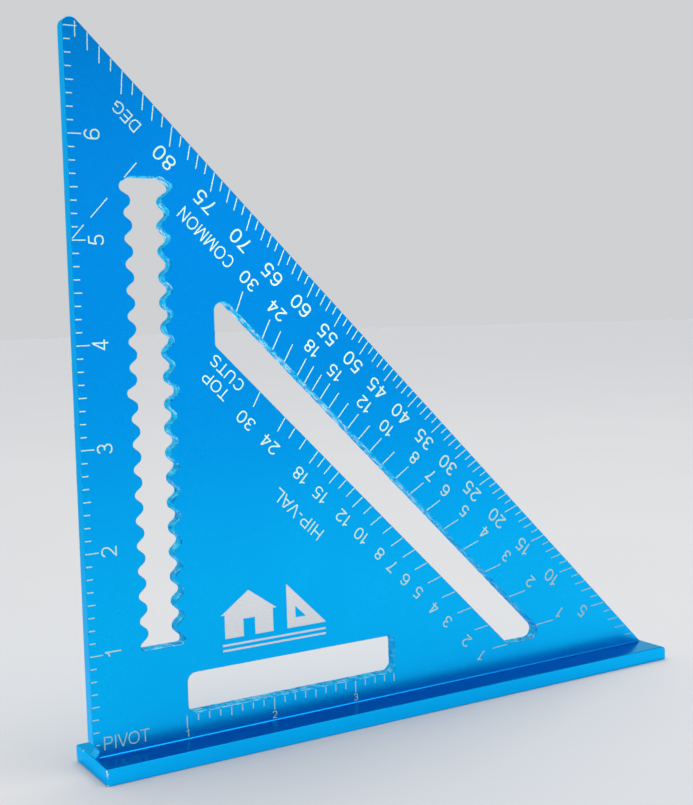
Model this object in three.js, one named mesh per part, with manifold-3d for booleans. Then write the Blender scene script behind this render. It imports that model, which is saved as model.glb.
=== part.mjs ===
// Speed square (rafter square): a triangular blade standing on a T-shaped fence.
//
// The blade has a right-angled corner at the pivot, two equal legs and a 45 degree
// hypotenuse.  It is cut through by a notched scribing slot, a slot parallel to the
// hypotenuse and a rectangular slot above the fence, and its front face carries
// engraved inch, degree and rafter graduations.
//
// Units are millimetres, +Z is up.  The origin is the centre of the fence's
// underside, +X runs along the fence away from the pivot, and the engraved face
// looks along -Y.

import * as THREE from "three";
import { mergeVertices } from "three/addons/utils/BufferGeometryUtils.js";
import Module from "manifold-3d";

const wasm = await Module();
wasm.setup();

// ---------------------------------------------------------------- dimensions

const INCH = 25.4;

// Fence: the flat bar that hooks over the edge of a board.
const FENCE_LENGTH = 185.0;
const FENCE_WIDTH = 21.8;
const FENCE_THICKNESS = 4.15;
const FENCE_TOP_EDGE_RADIUS = 0.2;
const FENCE_LOWER_EDGE_RADIUS = 0.25;
const FENCE_BACK_LOWER_RADIUS = 1.2;
const FENCE_HEEL_RADIUS = 0.3;
const FENCE_TOE_TOP_RADIUS = 1.9;
const FENCE_TOE_BOTTOM_RADIUS = 0.8;
const FENCE_TOE_SIDE_RADIUS = 0.8;

// Blade: measured in x and z from the pivot, the corner of blade and fence top.
const BLADE_THICKNESS = 3.7;
const BLADE_LEG = 182.9;
const APEX_RADIUS = 2.05;
const EDGE_BREAK = 0.2;

// The blade's lower edge is a tongue that stands in a groove along the fence.
const TONGUE_DEPTH = 1.2;
const GROOVE_CLEARANCE = 0.05;
const GROOVE_END_CLEARANCE = 0.2;

// Round relief at the pivot with a sloping mouth, so the corner seats on a board's edge.
const PIVOT_NOTCH_RADIUS = 1.5;
const PIVOT_NOTCH_X = -0.04;
const PIVOT_NOTCH_Z = 1.52;

// Scribing slot: a notch every quarter inch on both sides.
const SCRIBE_CENTRE_X = 19.7;
const SCRIBE_PITCH = INCH / 4;
const SCRIBE_FIRST_NOTCH = 4;
const SCRIBE_LAST_NOTCH = 22;
const SCRIBE_DEEP_NOTCH = 14;
const SCRIBE_LIFT = 0.35;
const SCRIBE_TOOTH_HALF_GAP = 3.87;
const SCRIBE_FLANK_LEAN = (50 * Math.PI) / 180;
const SCRIBE_DEEP_HALF_GAP = 7.25;
const SCRIBE_TOOTH_RADIUS = 1.73;
const SCRIBE_NOTCH_RADIUS = 1.24;
const SCRIBE_BOTTOM_Z = 24.7;
const SCRIBE_BOTTOM_RADIUS = 0.95;
const SCRIBE_TOP_Z = 142.5;
const SCRIBE_TOP_RADIUS = 2.0;

// Slot parallel to the hypotenuse, bounded by two lines x + z = constant.
const DIAGONAL_INNER = 5.405 * INCH;
const DIAGONAL_OUTER = 5.979 * INCH;
const DIAGONAL_LEFT_X = 37.2;
const DIAGONAL_LOWER_Z = 7.75;
const DIAGONAL_TIP_RADIUS = 2.4;
const DIAGONAL_CORNER_RADIUS = 1.4;

// Rectangular slot above the fence.
const WINDOW_LEFT = 26.03;
const WINDOW_RIGHT = 89.55;
const WINDOW_BOTTOM = 6.35;
const WINDOW_TOP = 16.85;
const WINDOW_RADIUS = 2.3;

// Engraved graduations.
const MARK_WIDTH = 0.28;
const MARK_DEPTH = 0.12;
const MARK_OVERRUN = 0.6;
const RUN_OF_COMMON_RAFTER = 12;
const RUN_OF_HIP_RAFTER = 12 * Math.SQRT2;
const RISES = [
  1, 2, 3, 4, 5, 6, 7, 8, 9, 10, 11, 12, 13, 14, 15, 16, 17, 18, 20, 22, 24, 30,
];
const NUMBERED_RISES = [1, 2, 3, 4, 5, 6, 7, 8, 10, 12, 15, 18, 24, 30];

// Lengths of the left edge's marks, and heights of the lower scale's marks.
const LEFT_INCH_LENGTH = 3.6;
const LEFT_HALF_LENGTH = 2.2;
const LEFT_EIGHTH_LENGTH = 1.8;
const LEFT_LAST_EIGHTH = 56;
const LOWER_MARK_TOP = 6.03;
const LOWER_INCH_BOTTOM = 2.8;
const LOWER_HALF_BOTTOM = 3.76;
const LOWER_EIGHTH_BOTTOM = 4.3;
const LOWER_FIRST_EIGHTH = 8;
const LOWER_LAST_EIGHTH = 28;

// Depths of the degree and rafter marks, across the lines x + z = constant.
const DEGREE_LONG_DEPTH = 4.5;
const DEGREE_MIDDLE_DEPTH = 3.3;
const DEGREE_SHORT_DEPTH = 2.5;
const TOP_DEGREE_SETBACK = 0.8;
const COMMON_MARK_REACH = 7.5;
const HIP_NUMBERED_REACH = 6.1;
const HIP_PLAIN_REACH = 4.9;

// Three dashes beside the five inch mark: x and z of both ends.
const DASHES = [
  [0.3, 127.4, 3.3, 130.7],
  [5.1, 132.4, 9.6, 137.2],
  [14.1, 142.2, 17.5, 145.9],
];

// How far a solid that is only there to be trimmed runs past each end.
const TRIM_MARGIN = 10;

// Segments per quarter turn or so on rounded corners.
const ARC_STEPS = 3;

// ------------------------------------------------------------------- helpers

/** A closed path through corners [x, y, radius], each rounded by its radius. */
function roundedPath(corners, PathType) {
  const path = new PathType();
  const count = corners.length;
  for (let i = 0; i < count; i++) {
    const [px, py] = corners[(i + count - 1) % count];
    const [x, y, radius] = corners[i];
    const [nx, ny] = corners[(i + 1) % count];
    const arriving = new THREE.Vector2(x - px, y - py).normalize();
    const leaving = new THREE.Vector2(nx - x, ny - y).normalize();
    const turn = Math.atan2(arriving.cross(leaving), arriving.dot(leaving));
    const reach = radius * Math.tan(Math.abs(turn) / 2);
    const startX = x - arriving.x * reach;
    const startY = y - arriving.y * reach;
    if (i === 0) {
      path.moveTo(startX, startY);
    } else {
      path.lineTo(startX, startY);
    }
    if (radius > 0) {
      const side = Math.sign(turn);
      const centreX = startX - side * arriving.y * radius;
      const centreY = startY + side * arriving.x * radius;
      const startAngle = Math.atan2(startY - centreY, startX - centreX);
      path.absarc(centreX, centreY, radius, startAngle, startAngle + turn, turn < 0);
    }
  }
  path.closePath();
  return path;
}

/** Turns a closed three.js geometry into a solid that can be cut. */
function toSolid(geometry) {
  let bare = geometry.clone();
  bare.deleteAttribute("normal");
  bare.deleteAttribute("uv");
  bare = mergeVertices(bare, 1e-4);
  const vertProperties = new Float32Array(bare.attributes.position.array);
  const triVerts = new Uint32Array(bare.index.array);
  return new wasm.Manifold(new wasm.Mesh({ numProp: 3, vertProperties, triVerts }));
}

/** Turns a solid back into a geometry with flat shading normals. */
function toGeometry(solid) {
  const mesh = solid.getMesh();
  const geometry = new THREE.BufferGeometry();
  const positions = new THREE.BufferAttribute(mesh.vertProperties, 3);
  geometry.setAttribute("position", positions);
  geometry.setIndex(new THREE.BufferAttribute(mesh.triVerts, 1));
  geometry.computeVertexNormals();
  return geometry;
}

/** Extrudes a shape drawn in x and z along y, centred on y = 0. */
function slab(shape, thickness, edgeBreak = 0) {
  const geometry = new THREE.ExtrudeGeometry(shape, {
    depth: thickness - 2 * edgeBreak,
    curveSegments: ARC_STEPS,
    bevelEnabled: edgeBreak > 0,
    bevelThickness: edgeBreak,
    bevelSize: edgeBreak,
    bevelOffset: -edgeBreak,
    bevelSegments: 1,
  });
  geometry.translate(0, 0, edgeBreak - thickness / 2);
  geometry.rotateX(Math.PI / 2);
  return geometry;
}

// --------------------------------------------------------------------- blade

/** The triangular outline, with its tongue, rounded apex and pivot relief. */
function bladeOutline() {
  // The relief leaves the left edge at 45 degrees and comes back to it just above the fence.
  const notchTop = PIVOT_NOTCH_Z + PIVOT_NOTCH_X + PIVOT_NOTCH_RADIUS * Math.SQRT2;
  const notchEnd = -Math.acos(-PIVOT_NOTCH_X / PIVOT_NOTCH_RADIUS);
  // The apex arc touches the left edge and the hypotenuse.
  const apexZ = BLADE_LEG - APEX_RADIUS * (1 + Math.SQRT2);
  const shape = new THREE.Shape();
  shape.moveTo(0, -TONGUE_DEPTH);
  shape.lineTo(BLADE_LEG, -TONGUE_DEPTH);
  shape.lineTo(BLADE_LEG, 0);
  shape.absarc(APEX_RADIUS, apexZ, APEX_RADIUS, Math.PI / 4, Math.PI, false);
  shape.lineTo(0, notchTop);
  shape.absarc(PIVOT_NOTCH_X, PIVOT_NOTCH_Z, PIVOT_NOTCH_RADIUS, Math.PI / 4, notchEnd, true);
  shape.closePath();
  return shape;
}

/** Corners of one side of the scribing slot, upwards; side is -1 left, +1 right. */
function scribeSide(side) {
  // How far a corner of the sharp zigzag stands beyond its rounding, per radius.
  const crown = 1 / Math.cos(SCRIBE_FLANK_LEAN) - 1;
  const slope = Math.tan(SCRIBE_FLANK_LEAN);
  const toothPoint = SCRIBE_TOOTH_HALF_GAP - SCRIBE_TOOTH_RADIUS * crown;
  const notchPoint = toothPoint + (slope * SCRIBE_PITCH) / 2;
  const notchHalfGap = notchPoint - SCRIBE_NOTCH_RADIUS * crown;
  const deepRun = SCRIBE_DEEP_HALF_GAP - toothPoint;
  const deepSlope = Math.hypot(SCRIBE_PITCH / 2, deepRun) / (SCRIBE_PITCH / 2);
  const deepPoint = SCRIBE_DEEP_HALF_GAP + SCRIBE_NOTCH_RADIUS * (deepSlope - 1);
  const x = (halfGap) => SCRIBE_CENTRE_X + side * halfGap;
  const z = (k) => k * SCRIBE_PITCH + SCRIBE_LIFT;

  // The first notch runs straight down into the slot's square lower corner.
  const flankRise = (notchPoint - notchHalfGap) / slope;
  const corners = [
    [x(notchHalfGap), SCRIBE_BOTTOM_Z, SCRIBE_BOTTOM_RADIUS],
    [x(notchHalfGap), z(SCRIBE_FIRST_NOTCH) + flankRise, SCRIBE_NOTCH_RADIUS],
  ];
  for (let k = SCRIBE_FIRST_NOTCH; k < SCRIBE_LAST_NOTCH; k++) {
    corners.push([x(toothPoint), z(k + 0.5), SCRIBE_TOOTH_RADIUS]);
    const deep = k + 1 === SCRIBE_DEEP_NOTCH || k + 1 === SCRIBE_LAST_NOTCH;
    corners.push([x(deep ? deepPoint : notchPoint), z(k + 1), SCRIBE_NOTCH_RADIUS]);
  }
  // Above the last notch the flank runs up to the slot's flat top.
  const topRise = SCRIBE_TOP_Z - z(SCRIBE_LAST_NOTCH);
  const topInset = (topRise * (deepPoint - toothPoint)) / (SCRIBE_PITCH / 2);
  corners.push([x(deepPoint - topInset), SCRIBE_TOP_Z, SCRIBE_TOP_RADIUS]);
  return corners;
}

function scribeSlot() {
  const corners = scribeSide(-1).concat(scribeSide(1).reverse());
  return roundedPath(corners, THREE.Path);
}

function diagonalSlot() {
  const corners = [
    [DIAGONAL_LEFT_X, DIAGONAL_INNER - DIAGONAL_LEFT_X, DIAGONAL_CORNER_RADIUS],
    [DIAGONAL_INNER - DIAGONAL_LOWER_Z, DIAGONAL_LOWER_Z, DIAGONAL_CORNER_RADIUS],
    [DIAGONAL_OUTER - DIAGONAL_LOWER_Z, DIAGONAL_LOWER_Z, DIAGONAL_TIP_RADIUS],
    [DIAGONAL_LEFT_X, DIAGONAL_OUTER - DIAGONAL_LEFT_X, DIAGONAL_TIP_RADIUS],
  ];
  return roundedPath(corners, THREE.Path);
}

function windowSlot() {
  const corners = [
    [WINDOW_LEFT, WINDOW_BOTTOM, WINDOW_RADIUS],
    [WINDOW_RIGHT, WINDOW_BOTTOM, WINDOW_RADIUS],
    [WINDOW_RIGHT, WINDOW_TOP, WINDOW_RADIUS],
    [WINDOW_LEFT, WINDOW_TOP, WINDOW_RADIUS],
  ];
  return roundedPath(corners, THREE.Path);
}

/** A straight cutter across the front face between two points in x and z. */
function markCutter(x0, z0, x1, z1) {
  const length = Math.hypot(x1 - x0, z1 - z0);
  const cutter = new THREE.BoxGeometry(length, 2 * MARK_DEPTH, MARK_WIDTH);
  cutter.rotateY(-Math.atan2(z1 - z0, x1 - x0));
  cutter.translate((x0 + x1) / 2, -BLADE_THICKNESS / 2, (z0 + z1) / 2);
  return toSolid(cutter);
}

/** A cutter on the ray from the pivot, between the lines x + z = from and to. */
function rayCutter(angle, from, to) {
  const spread = Math.cos(angle) + Math.sin(angle);
  const near = from / spread;
  const far = to / spread;
  const cos = Math.cos(angle);
  const sin = Math.sin(angle);
  return markCutter(near * cos, near * sin, far * cos, far * sin);
}

/** Inch scale up the left edge: an eighth of an inch per mark. */
function leftScale() {
  const cutters = [];
  for (let eighth = 1; eighth <= LEFT_LAST_EIGHTH; eighth++) {
    const z = (eighth / 8) * INCH;
    let length = LEFT_EIGHTH_LENGTH;
    if (eighth % 8 === 0) {
      length = LEFT_INCH_LENGTH;
    } else if (eighth % 4 === 0) {
      length = LEFT_HALF_LENGTH;
    }
    cutters.push(markCutter(-MARK_OVERRUN, z, length, z));
  }
  return cutters;
}

/** Inch scale under the rectangular slot, from one inch to three and a half. */
function lowerScale() {
  const cutters = [];
  for (let eighth = LOWER_FIRST_EIGHTH; eighth <= LOWER_LAST_EIGHTH; eighth++) {
    const x = (eighth / 8) * INCH;
    let bottom = LOWER_EIGHTH_BOTTOM;
    if (eighth % 8 === 0) {
      bottom = LOWER_INCH_BOTTOM;
    } else if (eighth % 4 === 0) {
      bottom = LOWER_HALF_BOTTOM;
    }
    cutters.push(markCutter(x, bottom, x, LOWER_MARK_TOP));
  }
  return cutters;
}

/** Degree scale along the hypotenuse: longest each 5, longer next but one to it. */
function degreeScale() {
  const cutters = [];
  for (let degree = 1; degree <= 89; degree++) {
    let depth = DEGREE_SHORT_DEPTH;
    if (degree % 5 === 0) {
      depth = DEGREE_LONG_DEPTH;
    } else if (degree % 5 === 2 || degree % 5 === 3 || degree === 89) {
      depth = DEGREE_MIDDLE_DEPTH;
    }
    const angle = THREE.MathUtils.degToRad(degree);
    const inner = BLADE_LEG - depth * Math.SQRT2;
    // The top mark stops short of the rounded apex.
    const outer = BLADE_LEG + (degree === 89 ? -TOP_DEGREE_SETBACK : MARK_OVERRUN);
    cutters.push(rayCutter(angle, inner, outer));
  }
  return cutters;
}

/** Common rafter scale, outwards from the diagonal slot. */
function commonScale() {
  return RISES.map((rise) => {
    const angle = Math.atan(rise / RUN_OF_COMMON_RAFTER);
    return rayCutter(angle, DIAGONAL_OUTER - MARK_OVERRUN, DIAGONAL_OUTER + COMMON_MARK_REACH);
  });
}

/** Hip and valley rafter scale, inwards from the diagonal slot. */
function hipValleyScale() {
  return RISES.map((rise) => {
    const angle = Math.atan(rise / RUN_OF_HIP_RAFTER);
    const depth = NUMBERED_RISES.includes(rise) ? HIP_NUMBERED_REACH : HIP_PLAIN_REACH;
    return rayCutter(angle, DIAGONAL_INNER - depth, DIAGONAL_INNER + MARK_OVERRUN);
  });
}

function dashes() {
  return DASHES.map(([x0, z0, x1, z1]) => markCutter(x0, z0, x1, z1));
}

function makeBlade() {
  const outline = bladeOutline();
  outline.holes.push(scribeSlot(), diagonalSlot(), windowSlot());
  let solid = toSolid(slab(outline, BLADE_THICKNESS, EDGE_BREAK));
  const marks = [
    ...leftScale(),
    ...lowerScale(),
    ...degreeScale(),
    ...commonScale(),
    ...hipValleyScale(),
    ...dashes(),
  ];
  for (const mark of marks) {
    solid = solid.subtract(mark);
  }
  const anodised = new THREE.MeshStandardMaterial({
    color: 0x0894e8,
    roughness: 0.34,
    metalness: 0.9,
  });
  const blade = new THREE.Mesh(toGeometry(solid), anodised);
  blade.name = "blade";
  return blade;
}

// --------------------------------------------------------------------- fence

/** The bar's section in y and z, extruded along x past both ends. */
function fenceSection() {
  const half = FENCE_WIDTH / 2;
  const shape = roundedPath(
    [
      [-half, -FENCE_THICKNESS, FENCE_LOWER_EDGE_RADIUS],
      [half, -FENCE_THICKNESS, FENCE_BACK_LOWER_RADIUS],
      [half, 0, FENCE_TOP_EDGE_RADIUS],
      [-half, 0, FENCE_TOP_EDGE_RADIUS],
    ],
    THREE.Shape,
  );
  const depth = FENCE_LENGTH + 2 * TRIM_MARGIN;
  const options = { depth, curveSegments: ARC_STEPS, bevelEnabled: false };
  const geometry = new THREE.ExtrudeGeometry(shape, options);
  // Extruded along z with y up: stand the profile's y up and run it along x.
  geometry.rotateX(Math.PI / 2);
  geometry.rotateZ(Math.PI / 2);
  geometry.translate(-TRIM_MARGIN, 0, 0);
  return geometry;
}

/** The bar seen from the front, in x and z, with its deburred toe. */
function fenceProfile() {
  const corners = [
    [0, -FENCE_THICKNESS, FENCE_HEEL_RADIUS],
    [FENCE_LENGTH, -FENCE_THICKNESS, FENCE_TOE_BOTTOM_RADIUS],
    [FENCE_LENGTH, 0, FENCE_TOE_TOP_RADIUS],
    [0, 0, FENCE_HEEL_RADIUS],
  ];
  return slab(roundedPath(corners, THREE.Shape), FENCE_WIDTH + 2 * TRIM_MARGIN);
}

/** The bar seen from above, in x and y, with softened vertical corners. */
function fencePlan() {
  const half = FENCE_WIDTH / 2;
  const corners = [
    [0, -half, FENCE_HEEL_RADIUS],
    [FENCE_LENGTH, -half, FENCE_TOE_SIDE_RADIUS],
    [FENCE_LENGTH, half, FENCE_TOE_SIDE_RADIUS],
    [0, half, FENCE_HEEL_RADIUS],
  ];
  const depth = FENCE_THICKNESS + 2 * TRIM_MARGIN;
  const options = { depth, curveSegments: ARC_STEPS, bevelEnabled: false };
  const geometry = new THREE.ExtrudeGeometry(roundedPath(corners, THREE.Shape), options);
  geometry.translate(0, 0, -FENCE_THICKNESS - TRIM_MARGIN);
  return geometry;
}

/** The groove that the blade's tongue stands in, open at the heel. */
function tongueGroove() {
  const overrun = 2;
  const length = BLADE_LEG + GROOVE_END_CLEARANCE + overrun;
  const width = BLADE_THICKNESS + 2 * GROOVE_CLEARANCE;
  const height = TONGUE_DEPTH + GROOVE_CLEARANCE + overrun;
  const groove = new THREE.BoxGeometry(length, width, height);
  groove.translate(length / 2 - overrun, 0, overrun - height / 2);
  return groove;
}

function makeFence() {
  const solid = toSolid(fenceSection())
    .intersect(toSolid(fenceProfile()))
    .intersect(toSolid(fencePlan()))
    .subtract(toSolid(tongueGroove()));
  const anodised = new THREE.MeshStandardMaterial({
    color: 0x069ff0,
    roughness: 0.3,
    metalness: 0.9,
  });
  const fence = new THREE.Mesh(toGeometry(solid), anodised);
  fence.name = "fence";
  return fence;
}

// ------------------------------------------------------------------ assembly

// Both pieces are drawn from the pivot, the corner of the blade and the fence's
// top face; this group carries them to the centre of the fence's underside.
const fromPivot = new THREE.Group();
fromPivot.position.set(-FENCE_LENGTH / 2, 0, FENCE_THICKNESS);
fromPivot.add(makeFence(), makeBlade());

const speedSquare = new THREE.Group();
speedSquare.name = "speed_square";
speedSquare.add(fromPivot);

export default speedSquare;
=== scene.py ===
"""Speed square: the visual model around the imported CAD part.

The blade and the fence are rebuilt as fine bevelled meshes that stand for the two
CAD nodes.  The graduations, numerals and legends are grooves cut in the blade with a
light inlay in each.  Shapes are drawn in millimetres from the pivot, the corner where
the blade's left edge meets the fence's top face, and placed in metres by at().
"""

import math

import bmesh
import bpy
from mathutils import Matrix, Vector, noise
from mathutils.geometry import delaunay_2d_cdt


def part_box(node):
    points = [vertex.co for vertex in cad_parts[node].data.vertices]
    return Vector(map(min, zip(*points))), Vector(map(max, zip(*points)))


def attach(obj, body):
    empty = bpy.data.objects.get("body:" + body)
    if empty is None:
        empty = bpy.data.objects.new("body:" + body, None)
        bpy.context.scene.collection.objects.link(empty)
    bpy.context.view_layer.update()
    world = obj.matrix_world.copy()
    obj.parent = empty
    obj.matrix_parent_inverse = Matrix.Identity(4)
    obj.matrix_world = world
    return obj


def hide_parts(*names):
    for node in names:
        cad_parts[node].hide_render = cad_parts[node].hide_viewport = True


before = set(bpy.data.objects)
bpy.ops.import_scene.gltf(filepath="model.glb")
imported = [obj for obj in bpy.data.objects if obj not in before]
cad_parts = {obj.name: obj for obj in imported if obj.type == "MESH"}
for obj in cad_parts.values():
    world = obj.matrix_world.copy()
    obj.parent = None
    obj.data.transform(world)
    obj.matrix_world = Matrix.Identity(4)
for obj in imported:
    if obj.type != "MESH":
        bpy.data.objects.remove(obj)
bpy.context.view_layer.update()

# ------------------------------------------------------------------ dimensions

MM = 0.001
INCH = 25.4

blade_low, blade_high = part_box("blade")
fence_low, fence_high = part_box("fence")

PIVOT = Vector((fence_low.x, (fence_low.y + fence_high.y) / 2, fence_high.z))
LEG = (blade_high.x - blade_low.x) / MM
HALF_BLADE = (blade_high.y - blade_low.y) / MM / 2
FENCE_LENGTH = (fence_high.x - fence_low.x) / MM
FENCE_HALF = (fence_high.y - fence_low.y) / MM / 2
FENCE_THICK = (fence_high.z - fence_low.z) / MM

APEX_RADIUS = 2.05
BEVEL = 0.2
# The blade's lower edge ends inside the fence, a little way from the heel.
FOOT_DEPTH = 0.5
FOOT_START = 0.4
# The relief at the pivot, which leaves the left edge at 45 degrees.
NOTCH_RADIUS = 1.5
NOTCH_X, NOTCH_Z = -0.04, 1.52
NOTCH_TOP = NOTCH_Z + NOTCH_X + NOTCH_RADIUS * math.sqrt(2)
NOTCH_MOUTH_RADIUS = 0.25

# The scribing slot: half its width at a tooth and at a deep notch, and its roundings.
SCRIBE_CENTRE = 19.7
SCRIBE_PITCH = INCH / 4
SCRIBE_LIFT = 0.35
SCRIBE_FIRST, SCRIBE_LAST, SCRIBE_DEEP = 4, 22, 14
TOOTH_GAP, DEEP_GAP = 3.87, 7.25
TOOTH_RADIUS, SCRIBE_NOTCH_RADIUS = 1.73, 1.24
FLANK_LEAN = math.radians(50)
SCRIBE_BOTTOM, SCRIBE_TOP = 24.7, 142.5
SCRIBE_BOTTOM_RADIUS, SCRIBE_TOP_RADIUS = 0.95, 2.0

# The slot parallel to the hypotenuse, between two lines x + z = constant.
DIAGONAL_INNER = 5.405 * INCH
DIAGONAL_OUTER = 5.979 * INCH
DIAGONAL_LEFT = 37.2
DIAGONAL_LOWER = 7.75
DIAGONAL_INNER_RADIUS, DIAGONAL_OUTER_RADIUS = 1.4, 2.4

# The rectangular slot: left, right, bottom and top.
WINDOW = (26.03, 89.55, 6.35, 16.85)
WINDOW_RADIUS = 2.3

# The fence's rounded edges, and the fillet along the blade's root.
FENCE_TOP_RADIUS = 0.2
FENCE_FRONT_RADIUS = 0.25
FENCE_BACK_RADIUS = 1.2
HEEL_RADIUS = 0.3
TOE_TOP_RADIUS = 1.9
TOE_RADIUS = 0.8
ROOT_FILLET = 0.26

# Marks are grooves, each with an inlay a little below the blade's face.
MARK_WIDTH = 0.28
GROOVE_DEPTH = 0.1
INLAY_DEPTH = 0.03
INLAY_CLEARANCE = 0.01
OVERRUN = 0.6

# The inch scales: the eighths that they mark, then how far in the left marks reach and
# how low the foot's do, on a whole inch, on a half inch and on another eighth.
LEFT_EIGHTHS = range(1, 57)
FOOT_EIGHTHS = range(8, 29)
LEFT_LENGTHS = (3.6, 2.2, 1.8)
FOOT_BOTTOMS = (2.8, 3.76, 4.3)
FOOT_TOP = 6.03
FIRST_MARK_START = 0.9

# The degree scale: how deep its marks are, square to the hypotenuse.
DEGREE_LONG, DEGREE_MIDDLE, DEGREE_SHORT = 4.5, 3.3, 2.5

# As differences in x + z: how far the top degree mark stands off the hypotenuse, and
# how far the rafter marks reach from the diagonal slot.
TOP_DEGREE_SETBACK = 0.8
COMMON_REACH = 7.5
HIP_NUMBERED_REACH, HIP_PLAIN_REACH = 6.1, 4.9

# Three dashes beside the five inch mark: x and z of both ends.
DASHES = ((0.3, 127.4, 3.3, 130.7), (5.1, 132.4, 9.6, 137.2), (14.1, 142.2, 17.5, 145.9))

RISES = (1, 2, 3, 4, 5, 6, 7, 8, 9, 10, 11, 12, 13, 14, 15, 16, 17, 18, 20, 22, 24, 30)
NUMBERED = (1, 2, 3, 4, 5, 6, 7, 8, 10, 12, 15, 18, 24, 30)


def at(x, y, z):
    """A point given in millimetres from the pivot, in the row frame in metres."""
    return PIVOT + Vector((x, y, z)) * MM


# --------------------------------------------------------------------- outlines


def rounded_loop(corners, step=1.0, turn_step=10.0):
    """Samples (x, z, normal x, normal z) round a closed loop of (x, z, radius).

    The normal points to the right of travel, out of the material.
    """
    count = len(corners)
    bends = []
    for i, (x, z, radius) in enumerate(corners):
        here = Vector((x, z))
        before = Vector(corners[i - 1][:2])
        after = Vector(corners[(i + 1) % count][:2])
        arrive = (here - before).normalized()
        leave = (after - here).normalized()
        cross = arrive.x * leave.y - arrive.y * leave.x
        turn = math.atan2(cross, arrive.dot(leave))
        reach = radius * math.tan(abs(turn) / 2)
        bends.append((here, arrive, leave, turn, radius, reach))
    samples = []
    for i, (here, arrive, leave, turn, radius, reach) in enumerate(bends):
        if radius > 0:
            side = math.copysign(1, turn)
            start = here - arrive * reach
            centre = start + Vector((-arrive.y, arrive.x)) * side * radius
            steps = max(2, math.ceil(abs(math.degrees(turn)) / turn_step))
            for k in range(steps + 1):
                angle = turn * k / steps
                c, s = math.cos(angle), math.sin(angle)
                along = Vector((arrive.x * c - arrive.y * s, arrive.x * s + arrive.y * c))
                point = centre - Vector((-along.y, along.x)) * side * radius
                samples.append((point.x, point.y, along.y, -along.x))
        else:
            right_in = Vector((arrive.y, -arrive.x))
            right_out = Vector((leave.y, -leave.x))
            mitre = (right_in + right_out) / (1 + right_in.dot(right_out))
            samples.append((here.x, here.y, mitre.x, mitre.y))
        end = here + leave * reach
        nxt, _, _, _, _, next_reach = bends[(i + 1) % count]
        start_next = nxt - leave * next_reach
        length = (start_next - end).length
        pieces = max(1, round(length / step))
        for k in range(1, pieces):
            point = end.lerp(start_next, k / pieces)
            samples.append((point.x, point.y, leave.y, -leave.x))
    return samples


def blade_outline():
    relief = []
    # The relief's arc runs from the end of its sloping mouth to just above the fence.
    for degrees in range(40, -71, -8):
        angle = math.radians(degrees)
        x = NOTCH_X + NOTCH_RADIUS * math.cos(angle)
        relief.append((x, NOTCH_Z + NOTCH_RADIUS * math.sin(angle), 0))
    return [
        (FOOT_START, -FOOT_DEPTH, 0),
        (LEG + FOOT_DEPTH, -FOOT_DEPTH, 0),
        (0, LEG, APEX_RADIUS),
        (0, NOTCH_TOP, NOTCH_MOUTH_RADIUS),
    ] + relief


def scribe_side(side):
    """One side of the scribing slot, upwards."""
    half_pitch = SCRIBE_PITCH / 2
    # How far a corner of the sharp zigzag stands beyond its rounding, per radius.
    crown = 1 / math.cos(FLANK_LEAN) - 1
    tooth = TOOTH_GAP - TOOTH_RADIUS * crown
    notch = tooth + math.tan(FLANK_LEAN) * half_pitch
    notch_gap = notch - SCRIBE_NOTCH_RADIUS * crown
    slope = math.hypot(half_pitch, DEEP_GAP - tooth) / half_pitch
    deep = DEEP_GAP + SCRIBE_NOTCH_RADIUS * (slope - 1)

    def x(gap):
        return SCRIBE_CENTRE + side * gap

    def z(k):
        return k * SCRIBE_PITCH + SCRIBE_LIFT

    rise = (notch - notch_gap) / math.tan(FLANK_LEAN)
    corners = [
        (x(notch_gap), SCRIBE_BOTTOM, SCRIBE_BOTTOM_RADIUS),
        (x(notch_gap), z(SCRIBE_FIRST) + rise, SCRIBE_NOTCH_RADIUS),
    ]
    for k in range(SCRIBE_FIRST, SCRIBE_LAST):
        corners.append((x(tooth), z(k + 0.5), TOOTH_RADIUS))
        reach = deep if k + 1 in (SCRIBE_DEEP, SCRIBE_LAST) else notch
        corners.append((x(reach), z(k + 1), SCRIBE_NOTCH_RADIUS))
    inset = (SCRIBE_TOP - z(SCRIBE_LAST)) * (deep - tooth) / half_pitch
    corners.append((x(deep - inset), SCRIBE_TOP, SCRIBE_TOP_RADIUS))
    return corners


def slot_outlines():
    left, right, bottom, top = WINDOW
    return [
        scribe_side(-1) + scribe_side(1)[::-1],
        [
            (DIAGONAL_LEFT, DIAGONAL_INNER - DIAGONAL_LEFT, DIAGONAL_INNER_RADIUS),
            (DIAGONAL_LEFT, DIAGONAL_OUTER - DIAGONAL_LEFT, DIAGONAL_OUTER_RADIUS),
            (DIAGONAL_OUTER - DIAGONAL_LOWER, DIAGONAL_LOWER, DIAGONAL_OUTER_RADIUS),
            (DIAGONAL_INNER - DIAGONAL_LOWER, DIAGONAL_LOWER, DIAGONAL_INNER_RADIUS),
        ],
        [
            (left, bottom, WINDOW_RADIUS),
            (left, top, WINDOW_RADIUS),
            (right, top, WINDOW_RADIUS),
            (right, bottom, WINDOW_RADIUS),
        ],
    ]


# ----------------------------------------------------------------- mesh builders


def to_object(name, bm, materials):
    mesh = bpy.data.meshes.new(name)
    bm.to_mesh(mesh)
    bm.free()
    for material in materials:
        mesh.materials.append(material)
    made = bpy.data.objects.new(name, mesh)
    bpy.context.scene.collection.objects.link(made)
    return made


def fill_loops(loops):
    """Triangles between an outer loop and its holes, as indexes into all their points."""
    points, faces = [], []
    for loop in loops:
        ids = list(range(len(points), len(points) + len(loop)))
        points += [Vector(p) for p in loop]
        # The outer loop runs anticlockwise and the holes run clockwise.
        faces.append(ids[::-1] if faces else ids)
    out = delaunay_2d_cdt(points, [], faces, 0, 1e-7, True)
    back = [ids[0] for ids in out[3]]
    keep = []
    for triangle, inside in zip(out[2], out[5]):
        if 0 in inside and len(inside) == 1:
            keep.append([back[v] for v in triangle])
    return keep


BEVEL_STEPS = 3
WALL_STEPS = 7
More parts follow.
